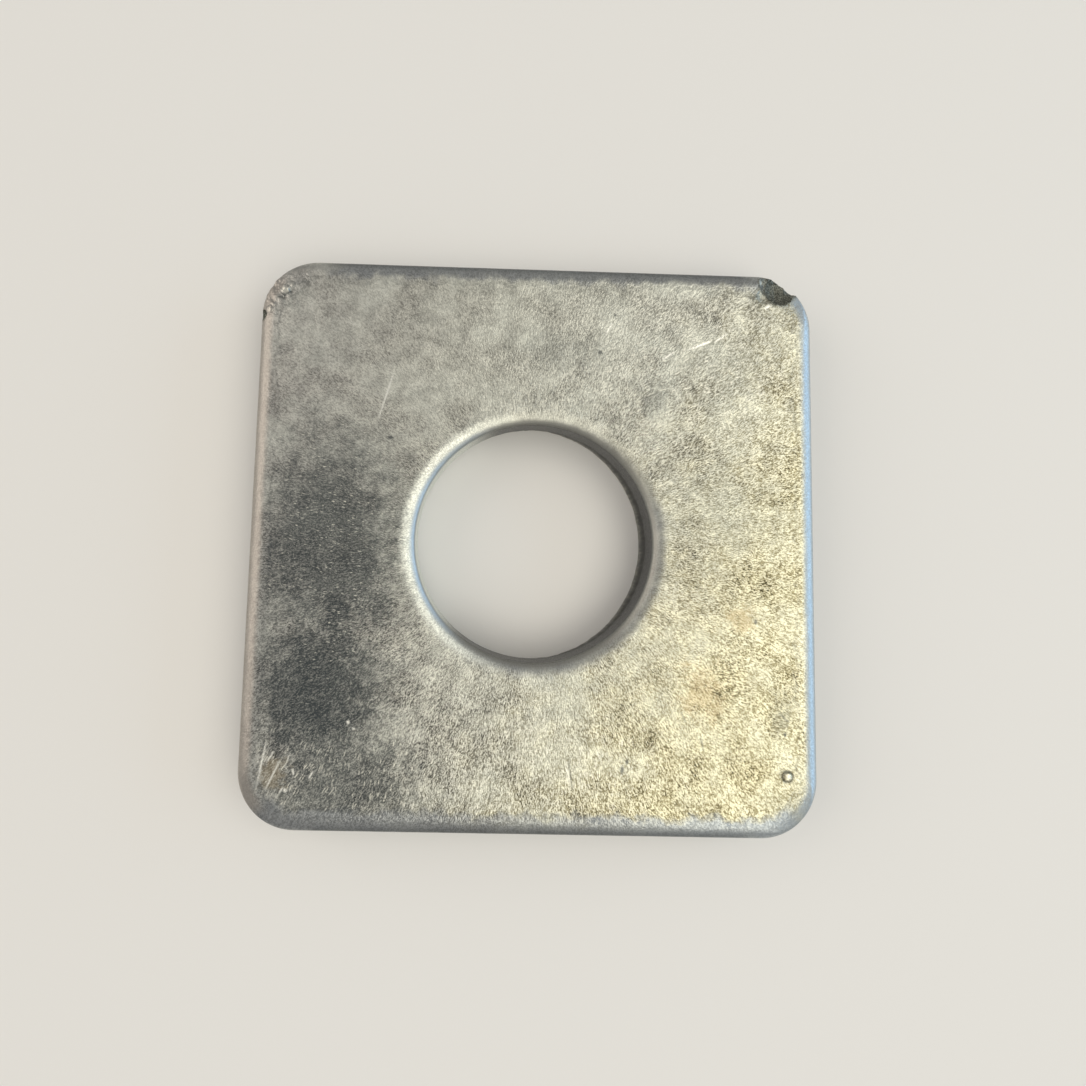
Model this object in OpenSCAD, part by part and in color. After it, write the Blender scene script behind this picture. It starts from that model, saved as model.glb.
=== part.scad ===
// Square plate washer, blanked from steel plate and hot-dip galvanised.
// Z is up and X runs to the right, as the plate lies in front of the viewer.
// The origin is on the underside, at the centre of the bolt hole.
// Outline and hole were sheared in one stroke from above. Both edges therefore have the same
// section: metal pulled down at the top, a smooth band, then a torn zone that leans back.

/* [Plate] */
// Side of the square, measured at the smooth band of the edge
side = 50; // [40:1:80]
// Thickness of the plate
thickness = 5; // [4:0.5:10]
// Radius of the four corners, seen from above
corner_radius = 5; // [3:0.5:8]

/* [Bolt hole] */
// Diameter of the hole at its smooth band
hole_diameter = 21; // [12:0.5:28]

/* [Sheared edge] */
// Wide radius of the pulled-down edge, where it leaves the top face
crown_radius = 2; // [1.5:0.1:2.8]
// Tight radius of the pulled-down edge, where it turns into the smooth band
shoulder_radius = 0.5; // [0.2:0.05:0.8]
// Height of the smooth band
band_height = 2.2; // [1:0.1:2.8]
// How far the torn zone leans back at the underside
tear_lean = 0.45; // [0.1:0.05:0.7]
// Radius that the zinc leaves along the underside's edges
burr_radius = 0.3; // [0.1:0.05:0.5]

/* [Corners] */
// How far in from a corner's tip its deeper roll starts
corner_reach = 2.6; // [2:0.1:4]
// Drop of that roll at the tip
corner_drop = 0.5; // [0.3:0.05:0.7]
// Radius of that roll on the way out to the tip
corner_roll_radius = 10; // [8:0.5:16]

/* [Marks] */
// Radius of the zinc pimple on the top face, where it leaves the face
pimple_radius = 0.42; // [0.2:0.02:0.8]
// Height of the pimple over the face
pimple_height = 0.16; // [0.05:0.01:0.2]
// Radius of the small chip in the upper left corner
chip_radius = 0.5; // [0.2:0.05:0.9]

/* [Hidden] */
$fn = 96;
zinc_grey = [0.70, 0.70, 0.66];

// How far a cut runs past the surface it opens
overrun = 1;

hole_radius = hole_diameter / 2;
straight = side - 2 * corner_radius;
tip_distance = norm([straight, straight]) / 2 + corner_radius;

// The pulled-down edge is two arcs that meet without a crease: a wide crown that leaves the
// top face level, and a tight shoulder that runs out upright into the smooth band. They meet on
// a line through both centres, which rises 4 for every 3 that it runs outwards.
meeting_line = [3, 4] / 5;
centre_gap = (crown_radius - shoulder_radius) * meeting_line;
roll_width = shoulder_radius + centre_gap[0];
roll_depth = crown_radius - centre_gap[1];
crown_centre = [-roll_width, thickness - crown_radius];
shoulder_centre = crown_centre + centre_gap;

// The torn zone, and the radius that takes off its edge at the underside. That arc doesn't just
// touch the two faces: its centre lies a little closer to both, so that it crosses them.
torn_height = thickness - roll_depth - band_height;
torn_length = norm([tear_lean, torn_height]);
torn_out = [torn_height, -tear_lean] / torn_length;
burr_crossing_angle = 8;
burr_inset = burr_radius * cos(burr_crossing_angle);
burr_centre = [
    -tear_lean - burr_inset * (torn_length - tear_lean) / torn_height,
    burr_inset
];

// The deeper roll of the corners is one arc turned about the hole's axis. Its chord runs from
// the top face, where the roll starts, out to the dropped tip.
roll_start = [tip_distance - corner_reach, thickness];
roll_chord = [corner_reach, -corner_drop];
chord_down = [-corner_drop, -corner_reach] / norm(roll_chord);
corner_roll_centre = roll_start + roll_chord / 2
    + chord_down * sqrt(pow(corner_roll_radius, 2) - pow(norm(roll_chord) / 2, 2));

// The pimple is the cap of a ball; its place is counted in from the right and lower sides
pimple_ball = (pow(pimple_radius, 2) + pow(pimple_height, 2)) / (2 * pimple_height);
pimple_place_shares = [0.57, 1.08];

// Three scoops where the upper right corner was struck, the last a shallow one. All are shares of
// the corner radius: in from the right side, in from the upper side, radius, height of the
// centre over the face
gouge_scoop_shares = [
    [0.89, 0.29, 0.25, 0.07],
    [0.56, 0.22, 0.33, 0.06],
    [0.88, 0.42, 0.23, 0.18]
];
// The chip in the upper left corner: in from the left side and in from the upper side
chip_place_shares = [0.01, 1.03];

// Slice of a disc between two directions from its centre. Given an apex, its straight sides run
// from there, still to the same two points of the rim
module pie(radius, from, to, apex = [0, 0]) {
    intersection() {
        circle(r = radius);
        polygon([apex, 2 * radius * from - apex, 2 * radius * to - apex]);
    }
}

// What the radius at the underside takes off the sharp edge of the torn zone
module burr_waste() {
    translate(burr_centre)
        difference() {
            polygon(2 * burr_radius * [[0, 0], [0, -1], [torn_out[0], torn_out[1] - 1], torn_out]);
            circle(r = burr_radius);
        }
}

// Section through a sheared edge. The smooth band is at x = 0 and the metal lies to its left.
module sheared_section(depth) {
    difference() {
        polygon([
            [-depth, 0],
            [-tear_lean, 0],
            [0, torn_height],
            [0, thickness - roll_depth],
            [-roll_width, thickness],
            [-depth, thickness]
        ]);
        burr_waste();
    }
    translate(shoulder_centre)
        pie(shoulder_radius, [1, 0], meeting_line, apex = [-centre_gap[0], 0]);
    translate(crown_centre)
        pie(crown_radius, meeting_line, [0, 1]);
}

// One side of the plate between two corners, from its sheared edge to past the middle
module side_strip() {
    translate([straight / 2, 0, 0])
        rotate([90, 0, 0])
            linear_extrude(height = straight, center = true)
                translate([corner_radius, 0])
                    sheared_section(side / 2 + overrun);
}

// Quarter round that carries the same edge about a corner
module corner() {
    translate([straight / 2, straight / 2, 0])
        rotate_extrude(angle = 90)
            intersection() {
                translate([0, -overrun])
                    square([corner_radius + overrun, thickness + 2 * overrun]);
                translate([corner_radius, 0])
                    sheared_section(corner_radius + overrun);
            }
}

// The blank as it leaves the die, still without its hole
module blank() {
    for (turn = [0 : 90 : 270])
        rotate(turn) {
            side_strip();
            corner();
        }
}

// What the punch takes out: the sheared section turned about the axis, with the metal outside
module punched_hole() {
    rotate_extrude()
        difference() {
            translate([0, -overrun])
                square([hole_radius + roll_width, thickness + 2 * overrun]);
            translate([hole_radius, 0])
                mirror([1, 0])
                    sheared_section(roll_width + overrun);
        }
}

// What the corners lack above their deeper roll
module above_corner_roll() {
    rotate_extrude()
        difference() {
            translate(roll_start - [overrun, corner_drop + overrun])
                square([corner_reach + 2 * overrun, corner_drop + 2 * overrun]);
            translate(corner_roll_centre)
                circle(r = corner_roll_radius);
        }
}

// A ball with its axis level
module ball(radius) {
    rotate([90, 0, 0])
        sphere(r = radius);
}

// The struck corner
module gouge() {
    for (scoop = gouge_scoop_shares)
        translate([
            side / 2 - scoop[0] * corner_radius,
            side / 2 - scoop[1] * corner_radius,
            thickness + scoop[3] * corner_radius
        ])
            ball(scoop[2] * corner_radius);
}

// The chip is centred where the pulled-down edge is steepest
module chip() {
    translate([
        -side / 2 + chip_place_shares[0] * corner_radius,
        side / 2 - chip_place_shares[1] * corner_radius,
        thickness - roll_depth / 2
    ])
        ball(chip_radius);
}

module pimple() {
    translate([
        side / 2 - pimple_place_shares[0] * corner_radius,
        -side / 2 + pimple_place_shares[1] * corner_radius,
        thickness + pimple_height - pimple_ball
    ])
        ball(pimple_ball);
}

module plate_washer() {
    color(zinc_grey) {
        difference() {
            blank();
            punched_hole();
            above_corner_roll();
            gouge();
            chip();
        }
        pimple();
    }
}

plate_washer();
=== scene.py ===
# %% [markdown]
# # Square plate washer, hot-dip galvanised
# The washer was blanked and punched from 5 mm steel plate and then dipped in molten zinc. The
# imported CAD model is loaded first, because it says where everything lies: its place in space is
# the frame that every step below keeps to. Lengths are in metres, as Blender has them, and are
# written here as so many millimetres.

# %% Load the CAD frame and keep its box
import math

import bpy
import numpy as np
from mathutils import Matrix, Vector


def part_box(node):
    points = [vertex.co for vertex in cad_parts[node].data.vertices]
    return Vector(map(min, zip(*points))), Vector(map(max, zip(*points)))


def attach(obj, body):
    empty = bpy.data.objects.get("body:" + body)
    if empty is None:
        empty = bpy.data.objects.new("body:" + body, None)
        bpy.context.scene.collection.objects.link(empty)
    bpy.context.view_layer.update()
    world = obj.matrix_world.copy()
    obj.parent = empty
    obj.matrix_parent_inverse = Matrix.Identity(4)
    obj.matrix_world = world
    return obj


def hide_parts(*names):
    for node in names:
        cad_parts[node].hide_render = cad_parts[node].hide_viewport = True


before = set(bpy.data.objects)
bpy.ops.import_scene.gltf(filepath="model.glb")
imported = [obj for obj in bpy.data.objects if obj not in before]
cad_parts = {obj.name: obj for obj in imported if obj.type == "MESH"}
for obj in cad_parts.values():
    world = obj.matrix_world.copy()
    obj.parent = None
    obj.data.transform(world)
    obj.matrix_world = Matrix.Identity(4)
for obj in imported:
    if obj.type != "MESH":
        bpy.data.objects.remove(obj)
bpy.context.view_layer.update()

mm = 0.001
washer_low, washer_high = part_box("plate_washer")
print("CAD box in mm:", [round(v / mm, 2) for v in (*washer_low, *washer_high)])

# %% [markdown]
# ## The section of a sheared edge
# A punched edge has four zones from top to bottom: the roll, where the punch pulled the plate
# down before it cut, the smooth band that the die burnished, the torn zone where the steel broke
# and leans back, and the small radius that the zinc leaves at the underside. The plate has this
# same section round its outline and round its hole. So it is drawn once, as a row of points: a
# single point is spun into the arcs and extruded down the straight parts. A bevel couldn't do it,
# because the roll is wider than it is deep.

# %% Sizes of the plate and its section
side = 50 * mm
thickness = 5 * mm
corner_radius = 5 * mm
hole_radius = 10.5 * mm
crown_radius = 2 * mm
shoulder_radius = 0.5 * mm
roll_width = 1.4 * mm
roll_depth = 0.8 * mm
band_height = 2.2 * mm
tear_lean = 0.45 * mm
burr_radius = 0.3 * mm
torn_height = thickness - roll_depth - band_height
meeting_angle = math.atan2(3, 4)
tear_angle = math.atan2(tear_lean, torn_height)
burr_x = -tear_lean - burr_radius * (1 - math.sin(tear_angle)) / math.cos(tear_angle)
straight = side - 2 * corner_radius


def from_above(x, z, mirrored):
    """A point of the section at its place: x is counted outwards from the smooth band."""
    return (hole_radius - x, 0, z) if mirrored else (side / 2 + x, straight / 2, z)


def spin_arc(radius, angle, steps, centre, mirrored):
    """Spins the selected point about a centre, downwards along the section."""
    bpy.ops.mesh.spin(steps=steps, angle=angle, axis=(0, 1 if mirrored else -1, 0),
                      center=from_above(*centre, mirrored))


def extrude_points(x, z, steps, mirrored):
    """Extrudes the selected point along a straight part in equal steps."""
    step = Vector((-x if mirrored else x, 0, z)) / steps
    for _ in range(steps):
        bpy.ops.mesh.extrude_region_move(TRANSFORM_OT_translate={"value": step})


# %% Draw the section


def draw_section(name, mirrored):
    """One point, spun and extruded into the section of the sheared edge."""
    bpy.ops.object.select_all(action="DESELECT")
    start = from_above(-roll_width, thickness, mirrored)
    bpy.ops.mesh.primitive_plane_add(size=mm, location=start)
    section = bpy.context.object
    section.name = name
    bpy.ops.object.transform_apply(location=True)
    bpy.ops.object.mode_set(mode="EDIT")
    bpy.ops.mesh.merge(type="CENTER")
    spin_arc(crown_radius, meeting_angle, 8, (-roll_width, thickness - crown_radius), mirrored)
    spin_arc(shoulder_radius, math.pi / 2 - meeting_angle, 7,
             (-shoulder_radius, thickness - roll_depth), mirrored)
    extrude_points(0, -band_height, 7, mirrored)
    burr_tangent = burr_radius * math.tan(math.pi / 4 - tear_angle / 2)
    share = 1 - burr_tangent / math.hypot(tear_lean, torn_height)
    extrude_points(-tear_lean * share, -torn_height * share, 7, mirrored)
    spin_arc(burr_radius, math.pi / 2 - tear_angle, 4, (burr_x, burr_radius), mirrored)
    bpy.ops.object.mode_set(mode="OBJECT")
    ends = [[round(c / mm, 3) for c in v.co] for v in section.data.vertices]
    print(name, len(ends), "points, from", ends[0], "to", ends[-1])
    return section


outline = draw_section("outline", mirrored=False)
hole = draw_section("hole", mirrored=True)

# %% [markdown]
# ## Sweep the section
# Round the outline the section is spun a quarter turn at each corner and extruded straight along
# each side. The long edges of the sides are subdivided once all is there, which is quicker than
# many short extrusions. Round the hole the section is spun a full turn. Both rings get the same
# number of steps, so that the faces can later be bridged from one to the other without a seam.
# Short steps matter here: the zinc's unevenness is real geometry and needs vertices to move.

# %% Sweep it round the outline
corner_steps = 24
side_steps = 136
ring_steps = 4 * (corner_steps + side_steps)
weld = 0.002 * mm


def select_by(piece, test, mode="VERT"):
    """Goes to edit mode with just the vertices selected whose place passes the test."""
    bpy.ops.object.mode_set(mode="EDIT")
    bpy.ops.mesh.select_mode(type="VERT")
    bpy.ops.mesh.select_all(action="DESELECT")
    bpy.ops.object.mode_set(mode="OBJECT")
    places = vertex_places(piece)
    chosen = test(places[:, 0], places[:, 1], places[:, 2])
    piece.data.vertices.foreach_set("select", chosen)
    bpy.ops.object.mode_set(mode="EDIT")
    bpy.ops.mesh.select_mode(type=mode)
    return int(chosen.sum())


def vertex_places(piece):
    """All vertex places of a piece as an array of rows x, y, z."""
    places = np.empty(3 * len(piece.data.vertices))
    piece.data.vertices.foreach_get("co", places)
    return places.reshape(-1, 3)


def select_long_edges(piece, shortest):
    """Goes to edit mode with just the edges longer than the given length selected."""
    bpy.ops.object.mode_set(mode="EDIT")
    bpy.ops.mesh.select_mode(type="EDGE")
    bpy.ops.mesh.select_all(action="DESELECT")
    bpy.ops.object.mode_set(mode="OBJECT")
    ends = np.empty(2 * len(piece.data.edges), dtype=int)
    piece.data.edges.foreach_get("vertices", ends)
    places = vertex_places(piece)[ends.reshape(-1, 2)]
    lengths = np.linalg.norm(places[:, 1] - places[:, 0], axis=1)
    piece.data.edges.foreach_set("select", lengths > shortest)
    bpy.ops.object.mode_set(mode="EDIT")


def make_active(piece):
    """Makes a piece the only selected and the active one."""
    bpy.ops.object.select_all(action="DESELECT")
    piece.select_set(True)
    bpy.context.view_layer.objects.active = piece


make_active(outline)
bpy.ops.object.mode_set(mode="EDIT")
bpy.ops.mesh.select_all(action="SELECT")
for turn in range(4):
    quarter = Matrix.Rotation(turn * math.pi / 2, 3, "Z")
    bpy.ops.mesh.spin(steps=corner_steps, angle=math.pi / 2, axis=(0, 0, -1),
                      center=quarter @ Vector((straight / 2, straight / 2, 0)))
    half_side = quarter @ Vector((-straight / 2, 0, 0))
    for _ in range(2):
        bpy.ops.mesh.extrude_region_move(TRANSFORM_OT_translate={"value": half_side})
bpy.ops.mesh.select_all(action="SELECT")
bpy.ops.mesh.remove_doubles(threshold=weld)
select_long_edges(outline, straight / 3)
bpy.ops.mesh.subdivide(number_cuts=side_steps // 2 - 1)
bpy.ops.object.mode_set(mode="OBJECT")
print("outline:", len(outline.data.vertices), "vertices,", len(outline.data.polygons), "faces")

# %% Sweep it round the hole
make_active(hole)
bpy.ops.object.mode_set(mode="EDIT")
bpy.ops.mesh.select_all(action="SELECT")
bpy.ops.mesh.spin(steps=ring_steps, angle=2 * math.pi, axis=(0, 0, 1), center=(0, 0, 0))
bpy.ops.mesh.select_all(action="SELECT")
bpy.ops.mesh.remove_doubles(threshold=weld)
bpy.ops.object.mode_set(mode="OBJECT")
print("hole:", len(hole.data.vertices), "vertices,", len(hole.data.polygons), "faces")

# %% [markdown]
# ## Close the faces
# Joined into one mesh, the two rings still lack the top face and the underside. Bridging their
# loops closes both, with enough cuts for the relief of the zinc on the top face. Then doubles
# are merged and the normals turned outwards, as every spin may leave them inside out.

# %% Bridge the top face and the underside
make_active(hole)
outline.select_set(True)
bpy.context.view_layer.objects.active = outline
bpy.ops.object.join()
washer = outline
washer.name = "plate_washer_zinc"
washer.data.name = "plate_washer_zinc"
for level, cuts in ((thickness, 40), (0, 14)):
    loops = select_by(washer, lambda x, y, z: abs(z - level) < weld, mode="EDGE")
    bpy.ops.mesh.bridge_edge_loops(number_cuts=cuts, interpolation="LINEAR")
    print("bridged", loops, "vertices at", round(level / mm, 2), "mm")
bpy.ops.mesh.select_all(action="SELECT")
bpy.ops.mesh.remove_doubles(threshold=weld)
bpy.ops.mesh.normals_make_consistent(inside=False)
bpy.ops.object.mode_set(mode="OBJECT")
print("washer:", len(washer.data.vertices), "vertices,", len(washer.data.polygons), "faces")

# %% [markdown]
# ## The corners' deeper roll
# Where two sides meet, the punch pulled the metal down further. In the CAD model that roll is one
# arc turned about the hole's axis. Here the vertices above that arc are moved straight down onto
# it, with a soft turn where it starts. A boolean would leave a rag of thin triangles at so flat a
# crossing.

# %% Lower the corners onto their arc
corner_reach = 2.6 * mm
corner_drop = 0.5 * mm
corner_roll_radius = 10 * mm
corner_turn = 0.02 * mm
tip_distance = straight / math.sqrt(2) + corner_radius


def lower_corners(piece):
    """Moves what stands above the corners' arc down onto it."""
    places = vertex_places(piece)
    out, height = np.hypot(places[:, 0], places[:, 1]), places[:, 2]
    start = np.array([tip_distance - corner_reach, thickness])
    chord = np.array([corner_reach, -corner_drop])
    down = np.array([-corner_drop, -corner_reach]) / np.linalg.norm(chord)
    to_centre = math.sqrt(corner_roll_radius ** 2 - (np.linalg.norm(chord) / 2) ** 2)
    centre = start + chord / 2 + down * to_centre
    beyond = np.maximum(out - centre[0], 0)
    inside = np.maximum(centre[0] - out, 0)
    arc = centre[1] + np.sqrt(np.maximum(corner_roll_radius ** 2 - beyond ** 2, 0)) + inside
    above = height - arc
    lower = (above + np.hypot(above, corner_turn)) / 2
    lower[height < thickness - roll_depth] = 0
    places[:, 2] -= lower
    piece.data.vertices.foreach_set("co", places.ravel())
    piece.data.update()
    print("corners lowered by up to", round(float(lower.max()) / mm, 3), "mm")


lower_corners(washer)

# %% [markdown]
# ## Zinc beads
# Molten zinc leaves small drops. One sits near the lower right corner, with a clean ring round it
# that is darkened with painted shade. The others lie on the roll of the upper left corner, with
# two folds beside them, also darkened with painted shade, and next to the struck corner. First the
# faces at these places are subdivided, each place once. Then each bead is shaped like a dab with a
# sculpting brush: a vertex group holds the brush's profile, and a Displace modifier lifts the
# group along the normals. The upper left corner is crumpled as well, by a noise that fades out
# over some millimetres.

# %% Raise the beads
on_top_height = 3.9
beads = [
    # name, place, radius, height, ring depth as a share of the height; all sizes in mm
    ("lower_right_bead", (22.15, -19.6), 0.42, 0.15, 0.9),
    ("upper_left_bead", (-22.9, 22.1), 0.52, 0.15, 0.12),
    ("upper_left_tail", (-22.4, 22.6), 0.40, 0.08, 0.10),
    ("left_edge_bead", (-24.2, 20.28), 0.36, 0.09, 0.20),
    ("left_edge_tail", (-24.0, 20.75), 0.30, 0.05, 0.10),
    ("gouge_lip", (20.35, 24.3), 0.36, 0.12, 0.05),
]
refined = [
    # centre, reach, cuts
    ((22.15, -19.6), 0.95, 4),
    ((-23.2, 21.8), 2.6, 3),
    ((20.35, 24.3), 0.8, 2),
]
folds = [
    # name, start, end, width, depth
    ("left_fold", (-23.50, 21.50), (-22.95, 21.52), 0.10, -0.06),
    ("right_fold", (-22.95, 21.52), (-22.35, 22.05), 0.10, -0.07),
]


def refine_near(piece, place, reach, cuts):
    """Subdivides the top faces round a place."""
    x0, y0 = place[0] * mm, place[1] * mm
    select_by(piece, lambda x, y, z: (np.hypot(x - x0, y - y0) < reach) & (z > thickness / 2),
              mode="FACE")
    bpy.ops.mesh.subdivide(number_cuts=cuts)
    bpy.ops.object.mode_set(mode="OBJECT")


def push_group(piece, name, weights, strength, texture=None, coordinates=None, middle=0.0):
    """Fills a vertex group and applies a Displace modifier to it."""
    group = piece.vertex_groups.new(name=name)
    for index in np.nonzero(weights)[0]:
        group.add([int(index)], float(weights[index]), "REPLACE")
    make_active(piece)
    push = piece.modifiers.new(name, "DISPLACE")
    push.vertex_group = name
    push.strength = strength
    push.mid_level = middle
    push.texture = texture
    if coordinates:
        push.texture_coords = "OBJECT"
        push.texture_coords_object = coordinates
    bpy.ops.object.modifier_apply(modifier=name)
    piece.vertex_groups.remove(piece.vertex_groups[name])


def cloud_texture(name, size, depth=2):
    """A soft noise for a Displace modifier, with features of the given size."""
    texture = bpy.data.textures.new(name, "CLOUDS")
    texture.noise_scale = size
    texture.noise_depth = depth
    return texture


def bead_profile(distance, radius, ring):
    """A round cap with a shallow ring about its foot."""
    cap = np.sqrt(np.clip(1 - (distance / radius) ** 2, 0, 1))
    return cap - ring / 2 * np.exp(-((distance / radius - 1.12) / 0.16) ** 2)


def distance_to_line(places, start, end):
    """Distance seen from above between places and a straight line from start to end."""
    start, end = np.array(start), np.array(end)
    along = (places[:, :2] - start) @ (end - start) / np.dot(end - start, end - start)
    nearest = start + np.clip(along, 0, 1)[:, None] * (end - start)
    return np.linalg.norm(places[:, :2] - nearest, axis=1)


for place, reach, cuts in refined:
    refine_near(washer, place, reach * mm, cuts)
print("refined to", len(washer.data.polygons), "faces")

for name, place, radius, height, ring in beads:
    places = vertex_places(washer) / mm
    distance = np.hypot(places[:, 0] - place[0], places[:, 1] - place[1])
    profile = bead_profile(distance, radius, ring)
    profile[(places[:, 2] < on_top_height) | (distance > 2 * radius)] = 0
    push_group(washer, name, np.maximum(profile, 0), height * mm)
    push_group(washer, name + "_ring", np.maximum(-profile, 0), -height * mm)
    print("raised", name)

for name, start, end, width, depth in folds:
    places = vertex_places(washer) / mm
    profile = np.exp(-(distance_to_line(places, start, end) / width) ** 2)
    profile[(places[:, 2] < on_top_height) | (profile < 0.01)] = 0
    push_group(washer, name, profile, depth * mm)
    print("pressed in", name)

crumple_place, crumple_reach, crumple_height = (-23.2, 21.8), 2.6, 0.28
places = vertex_places(washer) / mm
distance = np.hypot(places[:, 0] - crumple_place[0], places[:, 1] - crumple_place[1])
crumpled = np.clip(1.4 - 1.4 * distance / crumple_reach, 0, 1) * (places[:, 2] > on_top_height)
push_group(washer, "crumple", crumpled, crumple_height * mm, middle=0.5,
           texture=cloud_texture("crumple", 0.55 * mm, 2))
print("crumpled", int((crumpled > 0).sum()), "vertices")

# %% [markdown]
# ## The struck corner
# The upper right corner took a blow that scooped the metal out in two lobes with ridges across
# them, a bite out of the corner itself and a shallow scoop before them. The upper left corner has
# a small chip in its roll. Balls, drawn out to these shapes and with a rough, ridged skin, are
# cut out with a Boolean modifier, so that the scoops keep the ridges of the cutter.

# %% Cut the scoops and the chip
scoops = [
    # name, centre, radii, turn in degrees, ridge height, roughness (all mm), how dark it is
    ("shallow_scoop", (20.55, 22.85, 5.9), (1.20, 1.12, 1.15), 0, 0.02, 0.10, 0.28),
    ("left_lobe", (20.85, 23.95, 5.35), (0.80, 1.20, 0.95), 12, 0.02, 0.16, 0.80),
    ("right_lobe", (22.10, 23.65, 5.30), (1.50, 1.55, 1.55), -23, 0.04, 0.20, 1.0),
    ("corner_bite", (23.30, 24.00, 4.90), (0.85, 0.95, 1.15), -23, 0.02, 0.16, 1.0),
    ("chip", (-24.9, 19.85, 4.6), (0.45, 0.45, 0.45), 0, 0.02, 0.06, 1.0),
]
ridge_spacing = 0.30 * mm


def ridged_ball(name, centre, radii, turn, ridge, roughness):
    """A ball, drawn out by its radii, whose skin has level ridges and a roughness."""
    bpy.ops.object.select_all(action="DESELECT")
    bpy.ops.mesh.primitive_uv_sphere_add(
        segments=96, ring_count=60, radius=mm, scale=radii,
        rotation=(0, 0, math.radians(turn)), location=[c * mm for c in centre])
    ball = bpy.context.object
    ball.name = name
    bpy.ops.object.transform_apply(location=True, rotation=True, scale=True)
    places = vertex_places(ball)
    wave = np.sin(2 * math.pi * places[:, 2] / ridge_spacing)
    push_group(ball, "ridges", 0.5 + 0.5 * wave, ridge * mm)
    push_group(ball, "rough", np.ones(len(places)), roughness * mm,
               texture=cloud_texture(name + "_rough", 0.42 * mm, 3), middle=0.5)
    return ball


for name, centre, radii, turn, ridge, roughness, darkness in scoops:
    cutter = ridged_ball(name, centre, radii, turn, ridge, roughness)
    make_active(washer)
    cut = washer.modifiers.new(name, "BOOLEAN")
    cut.operation = "DIFFERENCE"
    cut.solver = "EXACT"
    cut.object = cutter
    bpy.ops.object.modifier_apply(modifier=name)
    bpy.data.objects.remove(cutter)
    print("cut", name, "->", len(washer.data.polygons), "faces")

# %% [markdown]
# ## Zones of the surface
# Both the relief and the material need to know where on the washer a point lies. So each vertex
# stores its distance from the outline and from the hole, and how far it belongs to a cut, to the
# top of a bead, and to a bead's ring or a fold. Whether it lies in a cut follows from its distance
# to the skin of the ball that made the cut.

# %% Store the zones on the mesh


def rounded_square_distance(x, y):
    """How far inside the plate's outline a point lies, in the units of x and y."""
    reach_x = np.abs(x) - straight / 2 / mm
    reach_y = np.abs(y) - straight / 2 / mm
    outside = np.hypot(np.maximum(reach_x, 0), np.maximum(reach_y, 0))
    return corner_radius / mm - outside - np.minimum(np.maximum(reach_x, reach_y), 0)


def cut_share(places):
    """How dark each place is because it belongs to a scoop or the chip."""
    struck = np.zeros(len(places))
    for name, centre, radii, turn, ridge, roughness, darkness in scoops:
        turned = np.array(Matrix.Rotation(math.radians(-turn), 3, "Z"))
        reach = (places - np.array(centre)) @ turned.T / np.array(radii)
        off_skin = np.abs(np.linalg.norm(reach, axis=1) - 1) * np.mean(radii)
        share = np.clip(1.5 - off_skin / (roughness / 2 + 0.04), 0, 1)
        struck = np.maximum(struck, darkness * share)
    return struck


def bead_shares(places):
    """How far each place belongs to the top of a bead, and to a bead's ring or a fold (painted
    shade).
    """
    bead, ring_and_fold_shade = np.zeros(len(places)), np.zeros(len(places))
    for name, place, radius, height, ring in beads:
        reach = np.hypot(places[:, 0] - place[0], places[:, 1] - place[1]) / radius
        bead = np.maximum(bead, height / beads[0][3] * np.clip(1.6 - 2 * reach, 0, 1))
        ring_and_fold_shade = np.maximum(ring_and_fold_shade, ring * np.exp(-((reach - 1.05) / 0.22) ** 2))
    for name, start, end, width, depth in folds:
        beside = distance_to_line(places, start, end)
        ring_and_fold_shade = np.maximum(ring_and_fold_shade, 0.8 * np.exp(-(beside / width) ** 2))
    on_top = places[:, 2] > on_top_height
    return bead * on_top, ring_and_fold_shade * on_top


def store_zone(piece, name, values):
    """Writes one number per vertex as a named attribute that the material can read."""
    zone = piece.data.attributes.get(name) or piece.data.attributes.new(name, "FLOAT", "POINT")
    zone.data.foreach_set("value", values.astype(np.float32))


places = vertex_places(washer) / mm
from_outline = rounded_square_distance(places[:, 0], places[:, 1])
from_hole = np.hypot(places[:, 0], places[:, 1]) - hole_radius / mm
struck = cut_share(places)
bead, ring_and_fold_shade = bead_shares(places)
for name, values in (("from_outline", from_outline), ("from_hole", from_hole),
                     ("struck", struck), ("bead", bead), ("ring_and_fold_shade", ring_and_fold_shade)):
    store_zone(washer, name, values)
print("zones stored for", len(places), "vertices;", int((struck > 0.5).sum()), "in the cuts")

# %% [markdown]
# ## Relief of the zinc
# Hot-dip zinc is never flat. It swells softly over some millimetres, ripples over one or two, and
# runs thicker along the rolled edge. The torn zone below it is rough, with tears that run from
# top to bottom. Each of these is a Displace modifier with its own noise and its own vertex group.
# The punch broke through a little askew, so at the underside the hole lies further left than at
# its smooth band. Last, what the relief pushed out of the underside is flattened onto the plane
# that the washer lies on.

# %% Displace the faces, the rolled edge and the torn zone
height = places[:, 2]
inward = np.minimum(from_outline, from_hole)
on_face = np.clip((inward - 0.1) / 0.8, 0, 1) * (1 - struck)
on_roll = np.exp(-((inward - 0.75) / 0.55) ** 2) * (height > on_top_height) * (1 - struck)
in_tear = np.clip((2.05 - height) / 0.3, 0, 1) * np.clip(height / 0.4, 0, 1) * (inward < 0.7)
push_group(washer, "swell", on_face, 0.050 * mm, middle=0.5,
           texture=cloud_texture("swell", 5.5 * mm, 1))
push_group(washer, "ripple", on_face, 0.030 * mm, middle=0.5,
           texture=cloud_texture("ripple", 1.5 * mm, 2))
push_group(washer, "thick_edge", on_roll, 0.090 * mm, middle=0.5,
           texture=cloud_texture("thick_edge", 2.6 * mm, 2))
bpy.ops.object.empty_add(location=(0, 0, 0))
tear_grid = bpy.context.object
tear_grid.scale = (1, 1, 3.5)
bpy.context.view_layer.update()
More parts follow.
